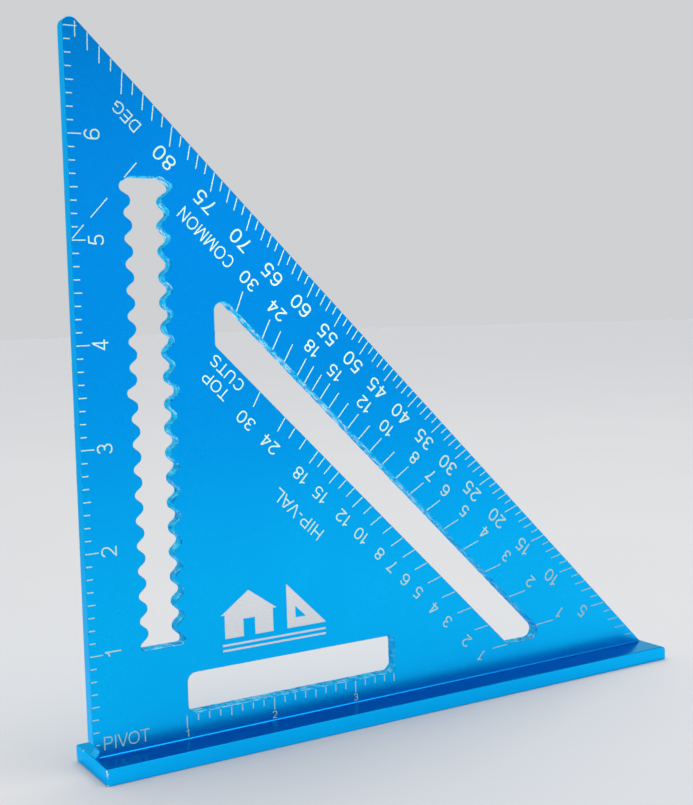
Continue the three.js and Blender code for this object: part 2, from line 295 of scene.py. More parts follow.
# How far, in millimetres, the walls wander from a true outline.
EDGE_WAVE = 0.01
SLOT_WAVE = 0.02
TORN_WAVE = 0.1


def section_rings():
    """(inset, y) of the rings round a loop: front bevel, wall and back bevel."""
    rings = []
    for k in range(BEVEL_STEPS + 1):
        angle = math.pi / 2 * k / BEVEL_STEPS
        inset = BEVEL * (1 - math.sin(angle))
        rings.append((inset, -HALF_BLADE + BEVEL * (1 - math.cos(angle))))
    front_bevel = rings[:]
    for k in range(1, WALL_STEPS):
        wall = 2 * HALF_BLADE - 2 * BEVEL
        rings.append((0.0, -HALF_BLADE + BEVEL + wall * k / WALL_STEPS))
    return rings + [(inset, -y) for inset, y in reversed(front_bevel)]


def wander(x, y, z, inset, number):
    """How far a wall's point is pushed out; number is 0 on the outline, 1 to 3 in slots."""
    broad = noise.noise(Vector((x * 0.22, number * 9.0, z * 0.22)))
    push = (SLOT_WAVE if number else EDGE_WAVE) * broad
    on_face = inset > BEVEL / 2
    if number and not on_face:
        # The slots are punched: smooth where the punch entered, torn behind.
        depth = (y + HALF_BLADE) / (2 * HALF_BLADE)
        torn = TORN_WAVE * min(1.0, max(0.0, depth * 2.2 - 0.4))
        push += torn * noise.noise(Vector((x * 0.9, y * 1.3, z * 0.9 + number * 40)))
    return push


def plate(name, materials):
    """The blade: rings of points round each loop, from the front cap to the back."""
    outer = rounded_loop(blade_outline())
    holes = [rounded_loop(corners, step=0.7) for corners in slot_outlines()]
    rings = section_rings()
    bm = bmesh.new()
    grid = []
    for number, loop in enumerate([outer] + holes):
        layers = []
        for inset, y in rings:
            layer = []
            for x, z, nx, nz in loop:
                out = wander(x, y, z, inset, number) - inset
                layer.append(bm.verts.new(at(x + nx * out, y, z + nz * out)))
            layers.append(layer)
        grid.append(layers)
    for number, layers in enumerate(grid):
        count = len(layers[0])
        for k in range(len(rings) - 1):
            bevel = k < BEVEL_STEPS or k >= len(rings) - 1 - BEVEL_STEPS
            for i in range(count):
                j = (i + 1) % count
                face = bm.faces.new(
                    (layers[k][i], layers[k][j], layers[k + 1][j], layers[k + 1][i])
                )
                face.smooth = True
                face.material_index = 1 if number else (0 if bevel else 2)
    for level in (0, -1):
        corners = [v for layers in grid for v in layers[level]]
        flat = [[(v.co.x, v.co.z) for v in layers[level]] for layers in grid]
        for triangle in fill_loops(flat):
            face = bm.faces.new([corners[i] for i in triangle])
            face.smooth = False
    bmesh.ops.recalc_face_normals(bm, faces=bm.faces)
    return to_object(name, bm, materials)


# ------------------------------------------------------------------ stroke font

STROKE = 0.115


def arc(cx, cy, rx, ry, start, end, squareness=2.25):
    """Points along part of a slightly squared ellipse, by angle in degrees."""
    steps = max(2, math.ceil(abs(end - start) / 12))
    points = []
    for k in range(steps + 1):
        angle = math.radians(start + (end - start) * k / steps)
        c, s = math.cos(angle), math.sin(angle)
        x = math.copysign(abs(c) ** (2 / squareness), c)
        y = math.copysign(abs(s) ** (2 / squareness), s)
        points.append((cx + rx * x, cy + ry * y))
    return points


SIX = [
    arc(0.33, 0.315, 0.265, 0.25, 0, 360),
    arc(0.345, 0.5, 0.28, 0.435, 38, 180) + [(0.065, 0.32)],
]

# Each glyph is (ink width, strokes): plain upright sans-serif capitals and figures,
# one unit high, with every stroke given by its centre line.
GLYPHS = {
    "0": (0.66, [arc(0.33, 0.5, 0.265, 0.435, 0, 360)]),
    "1": (0.46, [[(0.35, 0), (0.35, 1)], [(0.35, 0.93), (0.26, 0.80), (0.08, 0.715)]]),
    "2": (
        0.66,
        [
            arc(0.33, 0.685, 0.255, 0.25, 172, -18)
            + [(0.52, 0.49), (0.40, 0.36), (0.22, 0.21), (0.10, 0.07)],
            [(0.03, 0.065), (0.63, 0.065)],
        ],
    ),
    "3": (
        0.66,
        [
            arc(0.325, 0.72, 0.225, 0.215, 165, -88),
            arc(0.325, 0.285, 0.26, 0.22, 88, -165),
            [(0.25, 0.505), (0.36, 0.505)],
        ],
    ),
    "4": (
        0.68,
        [[(0.46, 0), (0.46, 1)], [(0.43, 0.95), (0.07, 0.265)], [(0.03, 0.265), (0.67, 0.265)]],
    ),
    "5": (
        0.66,
        [
            [(0.57, 0.935), (0.175, 0.935), (0.105, 0.48)],
            arc(0.325, 0.315, 0.265, 0.25, 140, -160),
        ],
    ),
    "6": (0.66, SIX),
    "7": (
        0.64,
        [
            [
                (0.03, 0.935),
                (0.575, 0.935),
                (0.46, 0.77),
                (0.36, 0.57),
                (0.29, 0.35),
                (0.25, 0.15),
                (0.235, 0),
            ]
        ],
    ),
    "8": (
        0.66,
        [arc(0.33, 0.73, 0.215, 0.205, 0, 360), arc(0.33, 0.29, 0.265, 0.225, 0, 360)],
    ),
    "9": (0.66, [[(0.66 - x, 1 - y) for x, y in stroke] for stroke in SIX]),
    "A": (
        0.90,
        [[(0.05, 0), (0.42, 0.97)], [(0.48, 0.97), (0.85, 0)], [(0.18, 0.33), (0.72, 0.33)]],
    ),
    "C": (0.88, [arc(0.45, 0.5, 0.385, 0.435, 40, 320)]),
    "D": (
        0.84,
        [
            [(0.065, 0), (0.065, 1)],
            [(0.065, 0.935), (0.40, 0.935)]
            + arc(0.40, 0.5, 0.375, 0.435, 90, -90)
            + [(0.065, 0.065)],
        ],
    ),
    "E": (
        0.72,
        [
            [(0.065, 0), (0.065, 1)],
            [(0.065, 0.935), (0.70, 0.935)],
            [(0.065, 0.515), (0.66, 0.515)],
            [(0.065, 0.065), (0.72, 0.065)],
        ],
    ),
    "G": (
        0.96,
        [arc(0.47, 0.5, 0.405, 0.435, 42, 322), [(0.50, 0.465), (0.875, 0.465), (0.875, 0.12)]],
    ),
    "H": (
        0.80,
        [[(0.065, 0), (0.065, 1)], [(0.735, 0), (0.735, 1)], [(0.065, 0.53), (0.735, 0.53)]],
    ),
    "I": (0.13, [[(0.065, 0), (0.065, 1)]]),
    "L": (0.64, [[(0.065, 0), (0.065, 1)], [(0.065, 0.065), (0.64, 0.065)]]),
    "M": (
        0.96,
        [
            [(0.065, 0), (0.065, 1)],
            [(0.895, 0), (0.895, 1)],
            [(0.10, 0.97), (0.48, 0.03)],
            [(0.48, 0.03), (0.86, 0.97)],
        ],
    ),
    "N": (
        0.80,
        [[(0.065, 0), (0.065, 1)], [(0.735, 0), (0.735, 1)], [(0.09, 0.95), (0.71, 0.05)]],
    ),
    "O": (0.96, [arc(0.48, 0.5, 0.415, 0.435, 0, 360)]),
    "P": (
        0.76,
        [
            [(0.065, 0), (0.065, 1)],
            [(0.065, 0.935), (0.44, 0.935)]
            + arc(0.44, 0.695, 0.255, 0.24, 90, -90)
            + [(0.065, 0.455)],
        ],
    ),
    "S": (
        0.80,
        [
            arc(0.40, 0.725, 0.295, 0.21, 22, 238)
            + [(0.40, 0.51)]
            + arc(0.40, 0.28, 0.335, 0.215, 58, -162)
        ],
    ),
    "T": (0.78, [[(0, 0.935), (0.78, 0.935)], [(0.39, 0), (0.39, 1)]]),
    "U": (
        0.80,
        [[(0.065, 1), (0.065, 0.36)] + arc(0.40, 0.36, 0.335, 0.295, 180, 360) + [(0.735, 1)]],
    ),
    "V": (0.86, [[(0.05, 1), (0.41, 0.03)], [(0.45, 0.03), (0.81, 1)]]),
    "-": (0.36, [[(0.02, 0.36), (0.34, 0.36)]]),
}
# Space left and right of a glyph's ink: wide by a stem, tight by a slope or an overhang.
BEARINGS = {
    "A": (0.0, 0.0),
    "C": (0.06, 0.05),
    "D": (0.11, 0.06),
    "E": (0.11, 0.05),
    "G": (0.06, 0.1),
    "H": (0.11, 0.11),
    "I": (0.11, 0.11),
    "L": (0.11, 0.02),
    "M": (0.11, 0.11),
    "N": (0.11, 0.11),
    "O": (0.06, 0.06),
    "P": (0.11, 0.05),
    "S": (0.06, 0.06),
    "T": (0.02, 0.02),
    "U": (0.1, 0.1),
    "V": (0.0, -0.03),
}


def ribbon(points, width):
    """Quads covering a polyline of that width, with mitred joints."""
    distinct = []
    for point in map(Vector, points):
        if not distinct or (point - distinct[-1]).length > 1e-4:
            distinct.append(point)
    points = distinct
    closed = (points[0] - points[-1]).length < 1e-4
    if closed:
        points.pop()
    count = len(points)
    sides = []
    for i, point in enumerate(points):
        before = points[i - 1] if (i or closed) else None
        after = points[(i + 1) % count] if (i < count - 1 or closed) else None
        into = (point - before).normalized() if before is not None else None
        out = (after - point).normalized() if after is not None else None
        into = into or out
        out = out or into
        normal_in = Vector((-into.y, into.x))
        normal_out = Vector((-out.y, out.x))
        mitre = (normal_in + normal_out) / max(0.35, 1 + normal_in.dot(normal_out))
        sides.append((point + mitre * width / 2, point - mitre * width / 2))
    quads = []
    for i in range(count if closed else count - 1):
        (a, b), (c, d) = sides[i], sides[(i + 1) % count]
        quads.append([a, b, d, c])
    return quads


def unite(polygons):
    """Points and triangles of the union of 2-D polygons."""
    points, faces = [], []
    for polygon in polygons:
        first = len(points)
        points += [Vector(p) for p in polygon]
        faces.append(list(range(first, first + len(polygon))))
    out = delaunay_2d_cdt(points, [], faces, 0, 1e-6, True)
    return out[0], [t for t, inside in zip(out[2], out[5]) if inside]


GLYPH_MESHES = {}


def glyph(letter, weight):
    if (letter, weight) not in GLYPH_MESHES:
        quads = [q for stroke in GLYPHS[letter][1] for q in ribbon(stroke, weight)]
        GLYPH_MESHES[letter, weight] = unite(quads)
    return GLYPH_MESHES[letter, weight]


class Marks:
    """Flat marks on the blade's front face, kept as prisms' outlines and triangles."""

    def __init__(self):
        self.shapes = []

    def polygons(self, polygons):
        self.shapes.append(unite(polygons))

    def text(self, words, height, centre, heading, width=None, stretch=1.0, weight=STROKE):
        """Words centred on a point in x and z, read along heading in degrees."""
        gaps = [
            BEARINGS.get(a, (0.065, 0.065))[1] + BEARINGS.get(b, (0.065, 0.065))[0]
            for a, b in zip(words, words[1:])
        ]
        ink = sum(GLYPHS[c][0] for c in words) + sum(gaps)
        across = width / ink if width else height * stretch
        angle = math.radians(heading)
        right = Vector((math.cos(angle), math.sin(angle)))
        up = Vector((-right.y, right.x))
        origin = Vector(centre) - right * ink * across / 2 - up * height / 2
        pen = 0.0
        for letter, gap in zip(words, gaps + [0]):
            points, triangles = glyph(letter, weight)
            placed = [origin + right * (pen + p.x) * across + up * p.y * height for p in points]
            self.shapes.append((placed, triangles))
            pen += GLYPHS[letter][0] + gap

    def prisms(self, near, far):
        """A bmesh of every shape as a closed prism between two depths in y."""
        bm = bmesh.new()
        for points, triangles in self.shapes:
            used = sorted({i for t in triangles for i in t})
            front = {i: bm.verts.new(at(points[i].x, near, points[i].y)) for i in used}
            back = {i: bm.verts.new(at(points[i].x, far, points[i].y)) for i in used}
            sides = {}
            for t in triangles:
                bm.faces.new([front[i] for i in t])
                bm.faces.new([back[i] for i in reversed(t)])
                for a, b in ((t[0], t[1]), (t[1], t[2]), (t[2], t[0])):
                    if (b, a) in sides:
                        del sides[(b, a)]
                    else:
                        sides[(a, b)] = True
            for a, b in sides:
                bm.faces.new((front[b], front[a], back[a], back[b]))
        bmesh.ops.recalc_face_normals(bm, faces=bm.faces)
        return bm


# ------------------------------------------------------------------ graduations


def bar(x0, z0, x1, z1, width=MARK_WIDTH):
    """A straight mark as one polygon."""
    return ribbon([(x0, z0), (x1, z1)], width)[0]


def ray_bar(angle, start, end):
    """A mark on the ray from the pivot between the lines x + z = start and end."""
    spread = math.cos(angle) + math.sin(angle)
    near, far = start / spread, end / spread
    c, s = math.cos(angle), math.sin(angle)
    return bar(near * c, near * s, far * c, far * s)


def by_eighth(eighth, lengths):
    """The length for a whole inch, for a half inch or for another eighth."""
    return lengths[0 if eighth % 8 == 0 else 1 if eighth % 4 == 0 else 2]


def common_angle(rise):
    return math.atan2(rise, 12)


def hip_angle(rise):
    return math.atan2(rise, 12 * math.sqrt(2))


def graduations(over):
    """All tick marks; those that start on an edge pass it by over millimetres."""
    ticks = []
    for eighth in LEFT_EIGHTHS:
        z = eighth / 8 * INCH
        # The lowest mark stops short of the relief.
        start = FIRST_MARK_START if z < NOTCH_TOP else -over
        ticks.append(bar(start, z, by_eighth(eighth, LEFT_LENGTHS), z))
    for eighth in FOOT_EIGHTHS:
        x = eighth / 8 * INCH
        ticks.append(bar(x, by_eighth(eighth, FOOT_BOTTOMS), x, FOOT_TOP))
    past = over * math.sqrt(2)
    for degree in range(1, 90):
        depth = {0: DEGREE_LONG, 2: DEGREE_MIDDLE, 3: DEGREE_MIDDLE}.get(degree % 5, DEGREE_SHORT)
        outer = LEG + past
        if degree == 89:
            depth, outer = DEGREE_MIDDLE, LEG - TOP_DEGREE_SETBACK
        ticks.append(ray_bar(math.radians(degree), LEG - depth * math.sqrt(2), outer))
    for rise in RISES:
        start, end = DIAGONAL_OUTER - past, DIAGONAL_OUTER + COMMON_REACH
        ticks.append(ray_bar(common_angle(rise), start, end))
        reach = HIP_NUMBERED_REACH if rise in NUMBERED else HIP_PLAIN_REACH
        ticks.append(ray_bar(hip_angle(rise), DIAGONAL_INNER - reach, DIAGONAL_INNER + past))
    ticks += [bar(*dash) for dash in DASHES]
    marks = Marks()
    marks.polygons(ticks)
    return marks


# Words along the hypotenuse are read in this direction, in degrees.
HYPOTENUSE = 135

# How tall the figures are, and the lines that the inch figures are centred on.
LEFT_FIGURE, FOOT_FIGURE, DEGREE_FIGURE, RAFTER_FIGURE = 4.2, 1.95, 3.9, 3.5
LEFT_FIGURES_X = 6.25
FOOT_FIGURES_Z = 1.5

# The other figures are centred on a line x + z = constant.  Each stands level with the
# point where its ray crosses a second such line.
DEGREE_LINE, DEGREE_LEVEL = 6.78 * INCH, 6.86 * INCH
COMMON_LINE, COMMON_LEVEL = 6.449 * INCH, 6.31 * INCH
HIP_LINE, HIP_LEVEL = 4.94 * INCH, 5.05 * INCH

# How far up the slope the figures stand from there, in millimetres.  The rafter
# figures are a little uneven, so some have a drift of their own.
DEGREE_DRIFT = COMMON_DRIFT = 0.4
HIP_DRIFT = -0.35
COMMON_DRIFTS = {1: -0.5, 2: 1.0, 6: 1.1, 7: -0.4, 10: 0.9, 15: 0.9, 24: -0.2}
HIP_DRIFTS = {2: -2.3, 4: -1.6, 7: 0.4, 8: 1.2}


def across_from(angle, line, ray_line, drift):
    """The point on x + z = line, level with where the ray crosses x + z = ray_line."""
    spread = math.cos(angle) + math.sin(angle)
    level = ray_line * (math.sin(angle) - math.cos(angle)) / spread + drift
    return ((line - level) / 2, (line + level) / 2)


def numerals():
    marks = Marks()
    for inches in range(1, 7):
        where = (LEFT_FIGURES_X, inches * INCH)
        marks.text(str(inches), LEFT_FIGURE, where, 90, stretch=0.98, weight=0.09)
    for inches in range(1, 4):
        where = (inches * INCH, FOOT_FIGURES_Z)
        marks.text(str(inches), FOOT_FIGURE, where, 0, stretch=1.1)
    for degree in range(5, 81, 5):
        where = across_from(math.radians(degree), DEGREE_LINE, DEGREE_LEVEL, DEGREE_DRIFT)
        marks.text(str(degree), DEGREE_FIGURE, where, HYPOTENUSE, stretch=1.12)
    for rise in NUMBERED:
        drift = COMMON_DRIFTS.get(rise, COMMON_DRIFT)
        where = across_from(common_angle(rise), COMMON_LINE, COMMON_LEVEL, drift)
        marks.text(str(rise), RAFTER_FIGURE, where, HYPOTENUSE, stretch=1.12)
        drift = HIP_DRIFTS.get(rise, HIP_DRIFT)
        where = across_from(hip_angle(rise), HIP_LINE, HIP_LEVEL, drift)
        marks.text(str(rise), RAFTER_FIGURE, where, HYPOTENUSE, stretch=1.12, weight=0.105)
    return marks


# Words, height in millimetres, then width, x and z in inches, heading and stroke.
LEGENDS = (
    ("DEG", 3.1, 0.33, 0.6, 6.184, HYPOTENUSE, 0.11),
    ("COMMON", 3.45, 0.76, 1.405, 5.021, HYPOTENUSE, 0.11),
    ("HIP-VAL", 3.5, 0.735, 2.358, 2.135, HYPOTENUSE, 0.1),
    ("TOP", 3.15, 0.342, 1.45, 3.538, HYPOTENUSE, 0.11),
    ("CUTS", 3.15, 0.455, 1.584, 3.661, HYPOTENUSE, 0.11),
    ("PIVOT", 3.35, 0.48, 0.352, 0.13, 0, 0.085),
)


def legends():
    marks = Marks()
    for words, height, width, x, z, heading, weight in LEGENDS:
        where = (x * INCH, z * INCH)
        marks.text(words, height, where, heading, width=width * INCH, weight=weight)
    return marks


def block(x0, z0, x1, z1):
    """A rectangle from its lower left corner to its upper right one."""
    return [(x0, z0), (x1, z0), (x1, z1), (x0, z1)]


def pictogram():
    """A plain gable end and a plain set square over two thin lines."""
    marks = Marks()
    left, right, base = 37.0, 51.2, 24.0
    eaves, ridge, overhang = base + 6.2, base + 12.0, 1.1
    door_left, door_right, lintel = left + 5.4, left + 8.8, base + 4.6
    marks.polygons(
        [
            block(left, base, door_left, eaves),
            block(door_left, lintel, door_right, eaves),
            block(door_right, base, right, eaves),
            [(left - overhang, eaves), (right + overhang, eaves), ((left + right) / 2, ridge)],
        ]
    )
    corner, span, border = 55.4, 12.0, 2.6
    inner = span - border * (2 + math.sqrt(2))
    a, b, c = (corner, base), (corner + span, base), (corner, base + span)
    p = (corner + border, base + border)
    q = (corner + border + inner, base + border)
    r = (corner + border, base + border + inner)
    marks.polygons([[a, b, q, p], [b, c, r, q], [c, a, p, r]])
    line_start, line_end, line_width = left - 0.8, corner + span - 0.2, 0.55
    for z in (base - 1.7, base - 3.1):
        marks.polygons([bar(line_start, z, line_end, z, line_width)])
    return marks


# ------------------------------------------------------------------------ fence


def draw_back(radius, depth):
    """How far a quarter-round of that radius draws back at that depth from the end."""
    if depth >= radius:
        return 0.0
    return radius - math.sqrt(max(0.0, radius**2 - (radius - depth) ** 2))


def fence_section(x):
    """The fence's section at x, as (y, z) points, with the root fillet on top."""
    heel, toe = x, FENCE_LENGTH - x
    high = -draw_back(HEEL_RADIUS, heel) - draw_back(TOE_TOP_RADIUS, toe)
    drawn = draw_back(HEEL_RADIUS, heel) + draw_back(TOE_RADIUS, toe)
    low, half = drawn - FENCE_THICK, FENCE_HALF - drawn
    # The root fillet fades in behind the relief and out where the blade ends.
    fade = min(1.0, max(0.0, x - 1.2)) * min(1.0, max(0.0, (LEG + 0.3 - x) / 1.2))
    points = []

    def corner(y, z, radius, start):
        for k in range(6):
            angle = math.radians(start + 90 * k / 5)
            points.append((y + radius * math.cos(angle), z + radius * math.sin(angle)))

    def run(y0, z0, y1, z1, count):
        for k in range(1, count):
            t = k / count
            points.append((y0 + (y1 - y0) * t, z0 + (z1 - z0) * t))

    def fillet(side, angles):
        for degrees in angles:
            angle = math.radians(degrees)
            y = HALF_BLADE + ROOT_FILLET * (1 - math.sin(angle))
            points.append((side * y, high + fade * ROOT_FILLET * (1 - math.cos(angle))))

    front, back, top = FENCE_FRONT_RADIUS, FENCE_BACK_RADIUS, FENCE_TOP_RADIUS
    root = HALF_BLADE + ROOT_FILLET
    corner(-half + front, low + front, front, 180)
    run(-half + front, low, half - back, low, 10)
    corner(half - back, low + back, back, 270)
    run(half, low + back, half, high - top, 4)
    corner(half - top, high - top, top, 0)
    run(half - top, high, root, high, 8)
    fillet(1, range(0, 91, 18))
    points.append((0.0, high + fade * ROOT_FILLET))
    fillet(-1, range(90, -1, -18))
    run(-root, high, -half + top, high, 8)
    corner(-half + top, high - top, top, 90)
    run(-half, high - top, -half, low + front, 4)
    return points


# Bare metal shows where the anodising is chipped: (x, y, z, radius) from the pivot.
CHIPS = (
    (0.0, -10.85, -0.45, 0.5),
    (0.0, -10.85, -1.15, 0.5),
    (0.0, -10.85, -1.6, 0.32),
    (0.05, -10.85, -3.95, 0.42),
    (0.0, 8.1, 0.0, 0.3),
    (0.0, 6.0, 0.0, 0.36),
    (0.0, 5.1, 0.0, 0.26),
)
CHIP_DEPTH = 0.16


def fence_stations():
    """Where the fence's sections are, in x: close together at both rounded ends."""
    stations = [HEEL_RADIUS * (1 - math.cos(math.radians(a))) for a in range(0, 91, 18)]
    x = 0.5
    while x < 4.0:
        stations.append(x)
        x += 0.25
    while x < FENCE_LENGTH - 3.2:
        stations.append(x)
        x += 2.0
    toe = FENCE_LENGTH - TOE_TOP_RADIUS
    stations += [toe - 1.0, toe - 0.4]
    stations += [toe + TOE_TOP_RADIUS * math.sin(math.radians(a)) for a in range(0, 91, 9)]
    return sorted(set(round(s, 4) for s in stations))


def chipped(point):
    """The point, drawn in where a chip takes a little metal off the corner it sits on."""
    for cx, cy, cz, radius in CHIPS:
        away = (point - Vector((cx, cy, cz))).length
        if away < radius:
            inward = Vector((0.6, 0.5 if cy < 0 else 0.0, -0.5 if cz == 0 else 0.0))
            bite = (1 - away / radius) * CHIP_DEPTH * (1 + noise.noise(point * 4))
            point = point + inward * bite
    return point


def fence_mesh(name, materials):
    bm = bmesh.new()
    rings = []
    for x in fence_stations():
        section = [chipped(Vector((x, y, z))) for y, z in fence_section(x)]
        rings.append([bm.verts.new(at(*point)) for point in section])
    count = len(rings[0])
    for a, b in zip(rings, rings[1:]):
        for i in range(count):
            j = (i + 1) % count
            bm.faces.new((a[i], a[j], b[j], b[i]))
    bm.faces.new(rings[0])
    bm.faces.new(rings[-1])
    bmesh.ops.recalc_face_normals(bm, faces=bm.faces)
    for face in bm.faces:
        face.smooth = True
    for edge in bm.edges:
        if len(edge.link_faces) == 2 and edge.calc_face_angle(0) > math.radians(32):
            edge.smooth = False
    return to_object(name, bm, materials)


# -------------------------------------------------------------------- materials


class Nodes:
    """Short calls for building a node tree."""

    def __init__(self, tree):
        self.tree = tree

    def add(self, kind, inputs=None, **settings):
        node = self.tree.nodes.new(kind)
        for key, value in settings.items():
            setattr(node, key, value)
        for key, value in (inputs or {}).items():
            if isinstance(value, bpy.types.NodeSocket):
                self.tree.links.new(value, node.inputs[key])
            else:
                node.inputs[key].default_value = value
        return node

    def noise(self, vector, scale, detail=2.0, roughness=0.5):
        values = {"Vector": vector, "Scale": scale, "Detail": detail, "Roughness": roughness}
        return self.add("ShaderNodeTexNoise", values).outputs["Fac"]

    def stretch(self, vector, scale):
        node = self.add("ShaderNodeMapping", {"Vector": vector, "Scale": scale})
        return node.outputs["Vector"]

    def span(self, value, low, high, to_low=0.0, to_high=1.0, smooth=True):
        node = self.add(
            "ShaderNodeMapRange",
            {0: value, 1: low, 2: high, 3: to_low, 4: to_high},
            interpolation_type="SMOOTHSTEP" if smooth else "LINEAR",
        )
        return node.outputs[0]

    def math(self, operation, a, b=0.0):
        return self.add("ShaderNodeMath", {0: a, 1: b}, operation=operation).outputs[0]

    def mix(self, factor, a, b):
        node = self.add("ShaderNodeMix", data_type="RGBA")
        for key, value in ((0, factor), (6, a), (7, b)):
            if isinstance(value, bpy.types.NodeSocket):
                self.tree.links.new(value, node.inputs[key])
            else:
                node.inputs[key].default_value = value
        return node.outputs[2]

    def bump(self, height, strength, distance, normal=None):
        values = {"Height": height, "Strength": strength, "Distance": distance}
        if normal is not None:
            values["Normal"] = normal
        return self.add("ShaderNodeBump", values).outputs["Normal"]


class Surface(Nodes):
    def __init__(self, name):
        self.material = bpy.data.materials.new(name)
        self.material.use_nodes = True
        super().__init__(self.material.node_tree)
        self.tree.nodes.clear()
        self.output = self.tree.nodes.new("ShaderNodeOutputMaterial")

    def finish(self, shader):
        self.tree.links.new(shader, self.output.inputs["Surface"])
        return self.material


# The anodising: its two dye shades, and its tint at grazing angles with and without a painted
# sheen.
DEEP = (0.0, 0.435, 0.845, 1)
BRIGHT = (0.0, 0.46, 0.88, 1)
SHEEN = (0.62, 0.84, 0.96, 1)
SHEENLESS = (0.05, 0.72, 1.0, 1)
BARE = (0.78, 0.79, 0.80, 1)
# The painted sheen fades between these heights, and grows between these places in x, in metres.
SHEEN_HEIGHTS = (0.03, 0.09)
SHEEN_PLACES = (-0.08, 0.07)

# The slots' walls: two dye shades, a painted shade, pale flecks of bare metal brightened by
# painted light, and the painted shade of dents.
WALL_DEEP = (0.0, 0.36, 0.78, 1)
WALL_BRIGHT = (0.04, 0.74, 1.0, 1)
WALL_PAINTED_SHADE = (0.01, 0.22, 0.52, 1)
WALL_PALE_FLECK = (0.92, 0.97, 1.0, 1)
WALL_DENT_SHADE = (0.0, 0.08, 0.3, 1)
# Between these heights the walls' painted shade lifts, and their pale flecks, partly painted
# light, thicken.
PAINTED_LIGHT_HEIGHTS = (0.03, 0.11)


def chip_mask(n, position):
    """1 on the bare chips, 0 elsewhere."""
    ragged = n.noise(position, 2600.0, detail=3.0)
    ragged = n.span(ragged, 0.3, 0.7, -0.35 * MM, 0.35 * MM, smooth=False)
    total = None
    for cx, cy, cz, radius in CHIPS:
        away = n.add(
            "ShaderNodeVectorMath",
            {0: position, 1: at(cx, cy, cz)},
            operation="DISTANCE",
        ).outputs["Value"]
        away = n.math("ADD", away, ragged)
        inside = n.span(away, radius * 0.72 * MM, radius * 0.6 * MM)
        total = inside if total is None else n.math("MAXIMUM", total, inside)
    return total


def anodised(name, grain=(1.0, 1.0, 1.0), rough=0.3, chips=False, sheen_at_heel=0.55):
    n = Surface(name)
    position = n.add("ShaderNodeNewGeometry").outputs["Position"]
    axes = n.add("ShaderNodeSeparateXYZ", {0: position}).outputs
    # A painted sheen: a pale tint at grazing angles near the ground, most of all at the toe.
    sheen = n.span(axes["Z"], *SHEEN_HEIGHTS, 1.0, 0.0)
    sheen = n.math("MULTIPLY", sheen, n.span(axes["X"], *SHEEN_PLACES, sheen_at_heel, 1.0))
    cloud = n.noise(position, 14.0, detail=4.0)
    colour = n.mix(n.span(cloud, 0.3, 0.7), DEEP, BRIGHT)
    fine = n.noise(n.stretch(position, grain), 5200.0, detail=2.0)
    smudge = n.noise(position, 38.0, detail=5.0, roughness=0.6)
    roughness = n.span(smudge, 0.35, 0.75, rough - 0.015, rough + 0.03)
    roughness = n.math("ADD", roughness, n.span(fine, 0.2, 0.8, -0.03, 0.03))
    normal = n.bump(fine, 0.1, 0.00002)
    waves = n.noise(n.stretch(position, grain), 90.0, detail=1.0)
    normal = n.bump(waves, 0.015, 0.00008, normal)
    if chips:
        bare = chip_mask(n, position)
        colour = n.mix(bare, colour, BARE)
        roughness = n.math("ADD", roughness, n.math("MULTIPLY", bare, 0.1))
    shader = n.add(
        "ShaderNodeBsdfPrincipled",
        {
            "Base Color": colour,
            "Metallic": 1.0,
            "Roughness": roughness,
            "Specular Tint": n.mix(sheen, SHEENLESS, SHEEN),
            "Normal": normal,
            "Coat Weight": 0.04,
            "Coat Roughness": 0.2,
            "Coat IOR": 1.6,
        },
    )
    return n.finish(shader.outputs[0])


